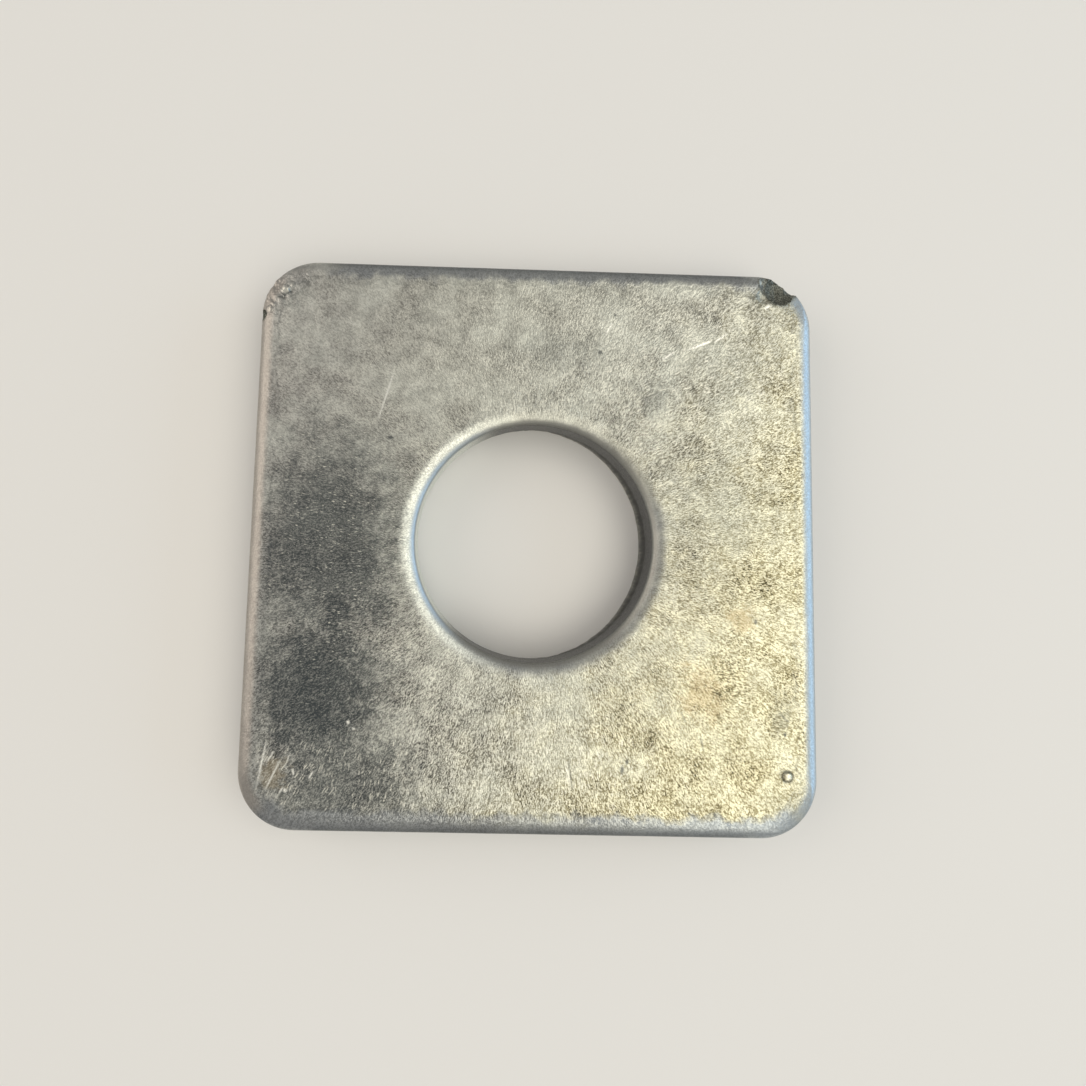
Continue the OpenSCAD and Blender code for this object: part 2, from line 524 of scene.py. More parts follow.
push_group(washer, "tear", in_tear, 0.200 * mm, middle=0.5, coordinates=tear_grid,
           texture=cloud_texture("tear", 0.7 * mm, 3))
bpy.data.objects.remove(tear_grid)
make_active(washer)
bpy.ops.object.shade_smooth_by_angle(angle=math.radians(40))

# %% Slant the hole and flatten the underside
hole_slant = 0.62 * mm
slant_fade = 4 * mm
places = vertex_places(washer)
low_down = np.clip(1 - places[:, 2] / torn_height, 0, 1)
by_hole = np.clip(4 - np.hypot(places[:, 0], places[:, 1]) / slant_fade, 0, 1)
places[:, 0] -= hole_slant * low_down * by_hole
places[:, 2] = np.maximum(places[:, 2], 0)
washer.data.vertices.foreach_set("co", places.ravel())
washer.data.update()
low, high = places.min(0) / mm, places.max(0) / mm
triangles = sum(len(face.vertices) - 2 for face in washer.data.polygons)
print("relief done; box", np.round(low, 3), np.round(high, 3), "triangles", triangles)

# %% [markdown]
# ## Small helpers for node trees
# A material here is a tree of many small nodes. A few helpers keep it readable. The first adds a
# node and fills its sockets with plain values or with the outputs that feed them, and most of the
# others name what one such node does. The last two start a node group with named sockets and
# place one in a tree. A group is a tool that every zone of the surface can use with its own
# settings.

# %% Node helpers


def fill_sockets(tree, node, sockets):
    """Fills a node's sockets by name or number, with a value or with another's output."""
    for key, value in sockets.items():
        if isinstance(value, bpy.types.NodeSocket):
            tree.links.new(value, node.inputs[key])
        else:
            node.inputs[key].default_value = value
    return node


def add_node(tree, kind, sockets, **settings):
    """Adds a node with its settings, and fills its sockets."""
    node = tree.nodes.new(kind)
    for name, value in settings.items():
        setattr(node, name, value)
    return fill_sockets(tree, node, sockets)


def math_of(tree, operation, first, second=0.0, third=0.0, clamp=False):
    """The result of one Math node."""
    return add_node(tree, "ShaderNodeMath", {0: first, 1: second, 2: third},
                    operation=operation, use_clamp=clamp).outputs[0]


def times(tree, first, second):
    """The product of two values."""
    return math_of(tree, "MULTIPLY", first, second)


def minus(tree, first, second):
    """The first value less the second."""
    return math_of(tree, "SUBTRACT", first, second)


def larger(tree, first, second):
    """The larger of two values."""
    return math_of(tree, "MAXIMUM", first, second)


def sum_of(tree, terms):
    """The sum of values, each times its weight."""
    total = 0.0
    for value, weight in terms:
        total = math_of(tree, "MULTIPLY_ADD", value, weight, third=total)
    return total


def vector_of(tree, operation, first, second=(0, 0, 0)):
    """The vector result of one Vector Math node."""
    return add_node(tree, "ShaderNodeVectorMath", {0: first, 1: second},
                    operation=operation).outputs[0]


def ramp_of(tree, value, start, end, low=0.0, high=1.0):
    """A value eased from low to high as the input runs from start to end."""
    return add_node(tree, "ShaderNodeMapRange",
                    {"Value": value, "From Min": start, "From Max": end,
                     "To Min": low, "To Max": high},
                    interpolation_type="SMOOTHSTEP").outputs["Result"]


def blend_of(tree, share, first, second):
    """Two colours mixed by a share."""
    return add_node(tree, "ShaderNodeMix", {0: share, 6: first, 7: second},
                    data_type="RGBA").outputs[2]


def start_group(name, inputs, outputs):
    """A new shader node group with its sockets; returns the tree and its two end nodes."""
    tree = bpy.data.node_groups.new(name, "ShaderNodeTree")
    for socket, kind, value in inputs:
        made = tree.interface.new_socket(name=socket, in_out="INPUT", socket_type=kind)
        if value is not None:
            made.default_value = value
    for socket in outputs:
        tree.interface.new_socket(name=socket, in_out="OUTPUT", socket_type="NodeSocketFloat")
    ends = tree.nodes.new("NodeGroupInput"), tree.nodes.new("NodeGroupOutput")
    return tree, ends[0].outputs, ends[1].inputs


def use_group(tree, group, sockets):
    """Places a node group in a tree and returns its outputs."""
    return add_node(tree, "ShaderNodeGroup", sockets, node_tree=group).outputs


# %% [markdown]
# ## Tools for the surface
# The zinc ran off the washer from the hole outwards, so its fine grain and its creases point away
# from the hole. A noise that is stretched in one fixed direction can't follow that. Instead the
# direction from the hole, as a point on a circle, is the noise's place, and the distance from the
# hole its fourth coordinate, which changes more slowly. The other tools are soft patches, short
# strokes, spots with a ragged edge and single scratches. All their sizes are in millimetres.

# %% Node group for the radial grain
SCALAR, VECTOR = "NodeSocketFloat", "NodeSocketVector"
middle_radius = 18.0


def scaled_by(tree, vector, factor):
    """A vector or a colour times a number."""
    if isinstance(vector, tuple):
        vector = vector[:3]
    return add_node(tree, "ShaderNodeVectorMath", {0: vector, "Scale": factor},
                    operation="SCALE").outputs[0]


def length_of(tree, vector):
    """The length of a vector."""
    return add_node(tree, "ShaderNodeVectorMath", {0: vector}, operation="LENGTH").outputs[1]


def noise_of(tree, place, scale, detail, roughness=0.6, run=None):
    """A noise between 0 and 1 at a place, which may also change along a run."""
    sockets = {"Vector": place, "Scale": scale, "Detail": detail, "Roughness": roughness}
    if run is None:
        return add_node(tree, "ShaderNodeTexNoise", sockets).outputs["Fac"]
    return add_node(tree, "ShaderNodeTexNoise", {**sockets, "W": run},
                    noise_dimensions="4D").outputs["Fac"]


def radial_place(tree, place, size, stretch):
    """Direction and distance from the hole, scaled so that features have the given size."""
    flat = vector_of(tree, "MULTIPLY", place, (1, 1, 0))
    around = scaled_by(tree, vector_of(tree, "NORMALIZE", flat), middle_radius)
    spot = vector_of(tree, "ADD", around, vector_of(tree, "MULTIPLY", place, (0, 0, 1)))
    run = math_of(tree, "DIVIDE", length_of(tree, flat), times(tree, size, stretch))
    return scaled_by(tree, spot, math_of(tree, "DIVIDE", 1.0, size)), run


def make_grain_group():
    """Noise drawn out along the lines that run away from the hole, and thin creases in it."""
    tree, given, result = start_group(
        "radial grain", [("Place", VECTOR, None), ("Sway", VECTOR, None), ("Size", SCALAR, 0.4),
                         ("Stretch", SCALAR, 2.5), ("Bend", SCALAR, 1.0)], ["Grain", "Crease"])
    place = vector_of(tree, "ADD", given["Place"], scaled_by(tree, given["Sway"], given["Bend"]))
    scaled, run = radial_place(tree, place, given["Size"], given["Stretch"])
    noise = noise_of(tree, scaled, 1.0, 1.6, run=run)
    tree.links.new(ramp_of(tree, noise, 0.30, 0.70), result["Grain"])
    from_middle = math_of(tree, "ABSOLUTE", minus(tree, noise, 0.47))
    tree.links.new(ramp_of(tree, from_middle, 0.055, 0.0), result["Crease"])
    return tree


grain_group = make_grain_group()
print("the grain group has", len(grain_group.nodes), "nodes")

# %% Node groups for patches, strokes, spots and scratches


def make_patch_group():
    """Soft uneven patches of a given size that fill a given share of the surface."""
    tree, given, result = start_group(
        "patches", [("Place", VECTOR, None), ("Size", SCALAR, 3.0), ("Share", SCALAR, 0.4),
                    ("Softness", SCALAR, 0.12)], ["Mask"])
    noise = noise_of(tree, given["Place"], math_of(tree, "DIVIDE", 1.0, given["Size"]), 2.0)
    edge = minus(tree, 0.72, times(tree, given["Share"], 0.44))
    tree.links.new(ramp_of(tree, noise, minus(tree, edge, given["Softness"]),
                           math_of(tree, "ADD", edge, given["Softness"])), result["Mask"])
    return tree


def make_stroke_group():
    """Short scattered strokes: stretched cells, of which only some are kept."""
    tree, given, result = start_group(
        "strokes", [("Place", VECTOR, None), ("Lean", SCALAR, 0.0), ("Length", SCALAR, 1.0),
                    ("Width", SCALAR, 0.15), ("Share", SCALAR, 0.3)], ["Mask"])
    turned = add_node(tree, "ShaderNodeVectorRotate",
                      {"Vector": given["Place"], "Angle": times(tree, given["Lean"], -1.0)},
                      rotation_type="Z_AXIS").outputs[0]
    cell = add_node(tree, "ShaderNodeCombineXYZ",
                    {0: math_of(tree, "DIVIDE", 1.0, given["Length"]),
                     1: math_of(tree, "DIVIDE", 1.0, given["Width"]), 2: 0.4}).outputs[0]
    cells = add_node(tree, "ShaderNodeTexVoronoi",
                     {"Vector": vector_of(tree, "MULTIPLY", turned, cell), "Scale": 1.0},
                     voronoi_dimensions="2D")
    near = ramp_of(tree, cells.outputs["Distance"], 0.44, 0.12)
    chance = add_node(tree, "ShaderNodeSeparateColor", {0: cells.outputs["Color"]}).outputs[0]
    kept = ramp_of(tree, chance, given["Share"], 0.0)
    tree.links.new(times(tree, near, kept), result["Mask"])
    return tree


def make_spot_group():
    """One soft spot at a place. The rag, a noise about 0, makes its edge uneven."""
    tree, given, result = start_group(
        "spot", [("Place", VECTOR, None), ("Centre", VECTOR, None), ("Reach", VECTOR, None),
                 ("Rag", SCALAR, 0.0), ("Ragged", SCALAR, 0.5)], ["Mask"])
    offset = vector_of(tree, "SUBTRACT", given["Place"], given["Centre"])
    distance = length_of(tree, vector_of(tree, "DIVIDE", offset, given["Reach"]))
    rag = times(tree, given["Rag"], times(tree, given["Ragged"], 4.0))
    tree.links.new(ramp_of(tree, math_of(tree, "ADD", distance, rag), 1.15, 0.25),
                   result["Mask"])
    return tree


def dot_of(tree, first, second):
    """The dot product of two vectors."""
    return add_node(tree, "ShaderNodeVectorMath", {0: first, 1: second},
                    operation="DOT_PRODUCT").outputs[1]


def make_scratch_group():
    """One straight scratch from a start along a run, thinner towards its ends."""
    tree, given, result = start_group(
        "scratch", [("Place", VECTOR, None), ("Start", VECTOR, None), ("Run", VECTOR, None),
                    ("Width", SCALAR, 0.1)], ["Mask"])
    offset = vector_of(tree, "SUBTRACT", given["Place"], given["Start"])
    along = math_of(tree, "DIVIDE", dot_of(tree, offset, given["Run"]),
                    dot_of(tree, given["Run"], given["Run"]), clamp=True)
    beside = length_of(tree, vector_of(tree, "SUBTRACT", offset,
                                       scaled_by(tree, given["Run"], along)))
    from_ends = times(tree, times(tree, along, 4.0), minus(tree, 1.0, along))
    near = ramp_of(tree, beside, given["Width"], 0.0)
    tree.links.new(times(tree, near, math_of(tree, "SQRT", from_ends)), result["Mask"])
    return tree


patch_group = make_patch_group()
stroke_group = make_stroke_group()
spot_group = make_spot_group()
scratch_group = make_scratch_group()
print("node groups:", [group.name for group in bpy.data.node_groups])

# %% [markdown]
# ## The zinc
# Old zinc is a matt, slightly uneven metal: a light grey with cooler and warmer patches, darker
# where it was handled, and smoother where the die burnished the edge. The material starts from
# the bare zinc colour and lays one finish after another over it. Every finish is a mask that
# mixes in a colour and, where it matters, changes the roughness and the height. Several finishes
# are painted light: painted shade at the left, on the edges, the band, the hole's wall and in
# rings, folds and creases, painted warm light towards the lower right, and painted reflections,
# highlights and glints on the rolls, round the hole and on the face.

# %% Colours of the finishes
# painted shade, towards the left
zinc_painted_shade = (0.46, 0.45, 0.42, 1)
zinc_grey = (0.56, 0.555, 0.49, 1)
zinc_cool = (0.50, 0.53, 0.48, 1)
# painted warm light, towards the lower right
zinc_painted_warm_light = (0.70, 0.66, 0.465, 1)
# painted warm light on the darker grain, towards the lower right
grain_painted_warm_tint = (1.08, 1.0, 0.78, 1)
# bright zinc for strokes and beads, and for painted glints
zinc_bright = (0.86, 0.84, 0.74, 1)
# painted highlight, on the hole's roll and wall at their left
zinc_painted_highlight = (0.80, 0.83, 0.77, 1)
scratch_white = (0.98, 0.97, 0.90, 1)
# dark for the smudges of handling dirt and for the pits; painted shade in creases, rings, folds
# and at the roll's foot
dirt_and_painted_shade = (0.055, 0.065, 0.07, 1)
stain_brown = (0.60, 0.48, 0.28, 1)
# painted shade on the rolls
roll_painted_shade_grey = (0.26, 0.275, 0.29, 1)
# painted reflections: rosy for the rolled edge's left side, blue for its right side and the hole's
# lit rim
roll_painted_rosy_reflection = (0.38, 0.35, 0.315, 1)
painted_blue_reflection = (0.42, 0.47, 0.50, 1)
# painted pale reflection on the rolled edge towards the lower right
roll_painted_pale_reflection = (0.36, 0.42, 0.50, 1)
# painted shade on the outer rim
rim_dark = (0.07, 0.08, 0.085, 1)
# painted shade on the hole's rim
hole_rim_brown = (0.27, 0.265, 0.24, 1)
# painted shade on the burnished band
band_painted_shade = (0.26, 0.275, 0.29, 1)
# painted shade on the hole's wall
hole_wall_painted_shade = (0.045, 0.047, 0.045, 1)
struck_dark = (0.075, 0.08, 0.065, 1)
struck_light = (0.27, 0.275, 0.235, 1)
tear_grey = (0.25, 0.255, 0.25, 1)

# %% Places of the marks
# Places, reaches and widths are in mm, from the middle of the hole as the photograph shows it
smudges = [
    # centre, reach, strength, raggedness
    ((-18.2, -2.0), (2.6, 3.0), 0.80, 0.6),
    ((-17.0, -6.4), (2.2, 2.2), 0.92, 0.6),
    ((-14.2, 2.9), (1.6, 1.6), 0.75, 0.6),
    ((-13.6, -5.6), (1.6, 2.6), 0.75, 0.6),
    ((-20.0, -9.3), (0.45, 1.6), 0.95, 0.5),
    ((-17.4, -8.9), (1.5, 0.45), 0.90, 0.5),
    ((-21.4, 3.5), (1.1, 1.5), 0.80, 0.5),
    ((-17.8, -15.0), (3.2, 6.0), 0.97, 0.5),
    ((-21.2, -16.8), (1.9, 1.5), 0.92, 0.6),
    ((-15.8, -19.5), (3.0, 3.0), 0.75, 0.5),
    ((-18.0, -1.0), (9.0, 13.5), 0.85, 0.30),
    ((-18.5, -13.0), (8.0, 9.5), 0.95, 0.30),
    ((-16.5, -20.5), (8.5, 6.0), 0.74, 0.40),
    ((-23.0, 23.0), (2.6, 2.4), 0.45, 0.5),
    ((15.0, 16.0), (7.0, 5.5), 0.12, 0.50),
    ((2.0, 17.3), (5.0, 2.0), 0.22, 0.6),
    ((16.5, 3.5), (6.5, 7.0), 0.16, 0.5),
    ((10.3, 13.2), (1.8, 2.4), 0.36, 0.6),
    ((21.6, -14.0), (1.2, 2.2), 0.30, 0.8),
]
stains = [
    # centre, reach, strength, raggedness
    ((14.8, -12.6), (2.2, 2.6), 0.40, 0.8),
    ((18.6, -6.4), (1.5, 1.2), 0.45, 0.8),
    ((-21.8, -20.0), (1.4, 1.5), 0.22, 0.8),
]
pits = [
    # centre, reach
    ((6.9, 20.7), (0.18, 0.22)), ((5.6, 17.2), (0.22, 0.20)), ((19.5, -6.5), (0.22, 0.36)),
    ((7.87, -19.28), (0.22, 0.45)), ((8.29, -18.60), (0.18, 0.30)), ((-12.9, 8.9), (0.3, 0.2)),
    ((21.97, -16.08), (0.16, 0.22)),
]
scratches = [
    # start, end, width, strength
    ((-12.84, 14.83), (-14.10, 10.45), 0.16, 0.75),
    ((13.54, 17.66), (15.73, 18.56), 0.16, 1.0),
    ((11.19, 16.66), (12.30, 17.45), 0.15, 0.9),
    ((6.70, 19.94), (6.01, 18.81), 0.14, 0.9),
    ((15.9, 18.4), (17.1, 19.3), 0.14, 0.9),
    ((20.55, 21.70), (21.20, 22.15), 0.24, 1.0),
    ((-22.45, -17.36), (-23.21, -21.62), 0.17, 0.8),
    ((-21.24, -18.99), (-22.44, -21.61), 0.16, 0.7),
    ((-21.77, -18.24), (-22.36, -19.15), 0.15, 0.7),
    ((-20.43, -18.42), (-20.80, -19.53), 0.13, 0.6),
    ((-20.85, -21.17), (-21.22, -21.72), 0.15, 0.8),
    ((-20.16, -19.65), (-20.03, -20.20), 0.16, 0.9),
    ((-18.39, -19.83), (-18.78, -20.52), 0.14, 0.8),
    ((3.06, -18.53), (3.44, -21.01), 0.20, 0.4),
    ((5.70, -17.60), (5.95, -18.50), 0.16, 0.35),
    ((-15.72, -15.60), (-15.55, -15.90), 0.22, 0.9),
    ((-15.22, -16.16), (-15.08, -16.40), 0.18, 0.8),
    ((-20.80, -21.30), (-20.62, -21.65), 0.24, 0.9),
]
# painted shadow: dark lines in creases and beside a scratch
crease_shadow_lines = [
    # start, end, width, strength
    ((21.45, -14.25), (22.40, -15.05), 0.14, 0.7),
    ((3.24, -18.40), (3.66, -21.10), 0.14, 0.8),
    ((-19.8, -8.4), (-18.3, -9.4), 0.30, 0.6),
    ((14.6, -16.3), (14.9, -17.6), 0.16, 0.7),
    ((12.9, -14.2), (13.4, -15.3), 0.14, 0.6),
]

stroke_fields = [
    # centre and reach of the field, lean in degrees, length, width, share
    ((-21.0, -20.5), (6.0, 4.5), 62, 1.3, 0.17, 0.60),
    ((-11.0, -20.0), (9.0, 4.5), 80, 1.0, 0.17, 0.50),
    ((13.0, 15.0), (10.0, 8.0), 24, 1.2, 0.22, 0.55),
    ((2.0, -19.0), (11.0, 5.5), 90, 0.9, 0.22, 0.50),
    ((-17.0, 0.0), (8.0, 16.0), 172, 0.45, 0.13, 0.22),
]

# %% What the finishes need to know
plane_height = thickness / mm


def read_surface(tree):
    """Place in mm, the stored zones and the shared noises, by name."""
    found = {}
    given = tree.nodes.new("ShaderNodeTexCoord")
    found["place"] = place = add_node(tree, "ShaderNodeMapping", {
        "Vector": given.outputs["Object"], "Scale": (1 / mm, 1 / mm, 1 / mm)}).outputs[0]
    found["x"], found["y"], found["z"] = add_node(tree, "ShaderNodeSeparateXYZ",
                                                  {0: place}).outputs
    for name in ("from_outline", "from_hole", "struck", "bead", "ring_and_fold_shade"):
        found[name] = add_node(tree, "ShaderNodeAttribute", {},
                               attribute_name=name).outputs["Fac"]
    found["near_edge"] = math_of(tree, "MINIMUM", found["from_outline"], found["from_hole"])
    found["wander"] = minus(tree, noise_of(tree, place, 0.7, 3.0), 0.5)
    found["rag"] = minus(tree, noise_of(tree, place, 1.1, 3.5, 0.65), 0.5)
    sway = add_node(tree, "ShaderNodeTexNoise", {"Vector": place, "Scale": 0.35,
                                                 "Detail": 2.0}).outputs["Color"]
    sway = vector_of(tree, "SUBTRACT", sway, (0.5, 0.5, 0.5))
    found["swayed"] = vector_of(tree, "ADD", place, scaled_by(tree, sway, 1.3))
    for name, size, stretch, bend in (("fine", 0.08, 2.8, 0.7), ("coarse", 0.15, 3.2, 1.2)):
        grain = use_group(tree, grain_group, {"Place": place, "Sway": sway, "Size": size,
                                              "Stretch": stretch, "Bend": bend})
        found[name], found["crease"] = grain["Grain"], grain["Crease"]
    found["specks"] = noise_of(tree, place, 9.0, 1.5, 0.7)
    for name, size, share in (("cloudy", 5.0, 0.5), ("mottle", 1.6, 0.5)):
        found[name] = use_group(tree, patch_group, {"Place": place, "Size": size,
                                                    "Share": share, "Softness": 0.2})["Mask"]
    return found


def spots_of(tree, found, table):
    """The masks of a table of spots, each with its strength."""
    for centre, reach, strength, ragged in table:
        mask = use_group(tree, spot_group, {
            "Place": found["place"], "Centre": (*centre, plane_height), "Reach": (*reach, 3.0),
            "Rag": found["rag"], "Ragged": ragged})["Mask"]
        yield times(tree, mask, strength)


def lines_of(tree, found, table):
    """One mask of a table of straight lines, broken up a little by the specks."""
    total = 0.0
    for start, end, width, strength in table:
        run = (end[0] - start[0], end[1] - start[1], 0)
        mask = use_group(tree, scratch_group, {
            "Place": found["place"], "Start": (*start, plane_height), "Run": run,
            "Width": width})["Mask"]
        total = larger(tree, total, times(tree, mask, strength))
    return times(tree, total, ramp_of(tree, found["specks"], 0.30, 0.44, 0.3, 1))


# %% Masks of the edge zones


def edge_masks(tree, found):
    """Roll, burnished band and torn zone, with borders that wander a little."""
    wander = found["wander"]
    outer = math_of(tree, "MULTIPLY_ADD", wander, 2.2, found["from_outline"])
    inner = math_of(tree, "MULTIPLY_ADD", wander, 0.6, found["from_hole"])
    height = math_of(tree, "MULTIPLY_ADD", wander, 0.9, found["z"])
    out = length_of(tree, vector_of(tree, "MULTIPLY", found["place"], (1, 1, 0)))
    in_corner = ramp_of(tree, math_of(tree, "MULTIPLY_ADD", wander, 1.2, out), 30.6, 31.8)
    wide, tall = (math_of(tree, "ABSOLUTE", found[axis]) for axis in "xy")
    at_sides = ramp_of(tree, minus(tree, wide, tall), -1.5, 1.5)
    at_top = ramp_of(tree, found["y"], -1.0, 1.0)

    # the rolled edge is wider along the lower side; away from the sides it gets painted shade,
    # which turns to a painted pale reflection towards the lower right
    spread = math_of(tree, "MULTIPLY_ADD", at_top, 0.45, outer)
    found["outline_roll"] = larger(tree, in_corner, ramp_of(tree, spread, 2.25, 1.35))
    crumpled = ramp_of(tree, minus(tree, found["x"], found["y"]), -41.0, -44.0)
    keep = minus(tree, 1.0, larger(tree, at_sides, crumpled))
    found["roll_dirt"] = times(tree, found["outline_roll"], ramp_of(tree, keep, 0, 1, 0.10, 0.74))
    # painted reflections on the left and right runs of the rolled edge: rosy at the left, blue at
    # the right
    found["side_roll"] = times(tree, at_sides, ramp_of(tree, found["from_outline"], 1.50, 0.80))
    # painted shade on the top and bottom of the outer rim, weaker at the corners, none at the
    # sides
    rim = times(tree, ramp_of(tree, found["from_outline"], 0.80, 0.10),
                math_of(tree, "MULTIPLY_ADD", at_top, 0.08, 0.64))
    found["rim"] = times(tree, rim, times(tree, minus(tree, 1.0, at_sides),
                                          minus(tree, 1.0, times(tree, in_corner, 0.8))))
    # painted shade in a thin line at the foot of the rolled edge
    foot = ramp_of(tree, math_of(tree, "ABSOLUTE", minus(tree, outer, 1.85)), 0.30, 0.0)
    found["foot"] = times(tree, foot, math_of(tree, "MULTIPLY_ADD", found["mottle"], 0.5, 0.25))

    # the hole's roll is darker towards the upper right, where it turns away from the light
    found["hole_roll"] = ramp_of(tree, inner, 1.70, 0.50)
    hole_side = minus(tree, times(tree, found["x"], 0.60), found["y"])
    found["dark_arc"] = times(tree, found["hole_roll"],
                              ramp_of(tree, hole_side, -2.0, 5.0, 0.0, 0.60))
    # painted highlight on the hole's roll at its left, which faces the lamps
    found["rubbed_arc"] = times(tree, ramp_of(tree, found["from_hole"], 1.7, 0.8),
                                ramp_of(tree, found["x"], -1.0, -9.0, 0.0, 0.50))
    # the hole's rim: a painted blue reflection on its left, painted shade elsewhere
    found["hole_rim"] = ramp_of(tree, found["from_hole"], 0.60, 0.25, 0.0, 0.75)
    found["lit_side"] = ramp_of(tree, math_of(tree, "MULTIPLY_ADD", found["y"], -0.15,
                                              found["x"]), -4.5, -8.0)

    # below the roll come the band and the torn zone
    on_side = ramp_of(tree, found["near_edge"], 0.60, 0.20)
    low_down = ramp_of(tree, height, 2.25, 1.85)
    below_roll = times(tree, on_side, ramp_of(tree, found["z"], 4.55, 4.20))
    found["tear"] = times(tree, low_down, on_side)
    found["band"] = times(tree, minus(tree, 1.0, low_down), below_roll)
    # the hole's wall: painted shade, with a painted highlight on its left side
    found["in_hole"] = times(tree, ramp_of(tree, found["from_hole"], 0.55, 0.10), below_roll)


# %% Bare zinc and its grain


def bare_zinc(tree, found):
    """Duller at the left by painted shade, warmer and lighter lower right by painted warm light;
    fine grain.
    """
    # painted shade darkens the grey to the left; painted warm light warms it to the lower right
    drift = times(tree, found["wander"], 12.0)
    rightward = math_of(tree, "MULTIPLY_ADD", found["x"], 0.85, drift)
    colour = blend_of(tree, ramp_of(tree, rightward, -24.0, 0.0), zinc_painted_shade, zinc_grey)
    to_corner = sum_of(tree, [(found["x"], 0.75), (found["y"], -0.40), (drift, 1.0)])
    colour = blend_of(tree, ramp_of(tree, to_corner, 0.0, 23.0), colour, zinc_painted_warm_light)
    colour = blend_of(tree, times(tree, found["cloudy"], 0.30), colour, zinc_cool)

    # the grain darkens the colour, more so lower down and away from the edges
    found["tone"] = tone = sum_of(tree, [(found["fine"], 0.70), (found["coarse"], 0.30),
                                         (minus(tree, found["specks"], 0.5), 1.4)])
    dark_crease = times(tree, found["crease"], ramp_of(tree, found["fine"], 0.80, 0.30))
    relief = minus(tree, ramp_of(tree, tone, 0.05, 0.95, -0.56, 0.17),
                   times(tree, dark_crease, times(tree, found["mottle"], 0.40)))
    downhill = sum_of(tree, [(found["x"], 0.8), (found["y"], -1.6)])
    contrast = times(tree, ramp_of(tree, downhill, -50.0, 8.0, 0.60, 1.15),
                     ramp_of(tree, found["cloudy"], 0, 1, 1.1, 0.8))
    contrast = times(tree, contrast, ramp_of(tree, found["near_edge"], 0.3, 1.5, 0.35, 1.0))
    soft = sum_of(tree, [(found["mottle"], 0.18), (found["cloudy"], 0.20),
                         (found["wander"], 0.80)])
    shade = math_of(tree, "MULTIPLY_ADD", relief, contrast,
                    third=math_of(tree, "ADD", soft, 0.88))
    # painted warm light: the darker grain turns warm towards the lower right
    warmer = times(tree, ramp_of(tree, to_corner, -4.0, 16.0), ramp_of(tree, shade, 0.95, 0.45))
    colour = vector_of(tree, "MULTIPLY", colour,
                       blend_of(tree, warmer, (1, 1, 1, 1), grain_painted_warm_tint))
    return scaled_by(tree, colour, shade)


# %% Handling marks, stains, strokes, painted glints, scratches, pits and painted crease shadows


def lay_marks(tree, found, colour):
    """The marks that lie on the face, each at its own place."""
    dirt = 0.0
    for mask in spots_of(tree, found, smudges):
        dirt = larger(tree, dirt, mask)
    broken = times(tree, ramp_of(tree, found["tone"], 1.0, 0.20, 0.76, 1.0),
                   ramp_of(tree, found["from_outline"], 0.9, 2.1, 0.25, 1.0))
    found["dirt"] = times(tree, dirt, broken)
    colour = blend_of(tree, found["dirt"], colour, dirt_and_painted_shade)
    for mask in spots_of(tree, found, stains):
        colour = blend_of(tree, mask, colour, stain_brown)

    strokes = 0.0
    for centre, reach, lean, length, width, share in stroke_fields:
        field = next(spots_of(tree, found, [(centre, reach, 1.0, 0.5)]))
        stroke = use_group(tree, stroke_group, {
            "Place": found["swayed"], "Lean": math.radians(lean), "Length": length,
            "Width": width, "Share": share})["Mask"]
        strokes = larger(tree, strokes, times(tree, stroke, field))
    strokes = times(tree, strokes, ramp_of(tree, found["from_outline"], 0.5, 0.9))
    strokes = times(tree, strokes, ramp_of(tree, found["tone"], 0.25, 0.65, 0.3, 1))
    # painted glints: bright specks, stronger to the left, mixed into the strokes
    painted_glints = times(tree, ramp_of(tree, found["specks"], 0.66, 0.78),
                    ramp_of(tree, found["x"], 0.0, -16.0, 0.25, 0.8))
    strokes = larger(tree, strokes, painted_glints)
    found["scratched"] = scratched = lines_of(tree, found, scratches)
    colour = blend_of(tree, times(tree, strokes, 0.85), colour, zinc_bright)
    colour = blend_of(tree, scratched, colour, scratch_white)

    pits_and_shadow_lines = 0.0
    for mask in spots_of(tree, found, [(*spot, 1.0, 0.3) for spot in pits]):
        pits_and_shadow_lines = larger(tree, pits_and_shadow_lines, mask)
    # the crease lines are painted shadow
    pits_and_shadow_lines = larger(tree, pits_and_shadow_lines, lines_of(tree, found, crease_shadow_lines))
    return blend_of(tree, times(tree, pits_and_shadow_lines, 0.72), colour, dirt_and_painted_shade)


# %% Edges, cuts and beads


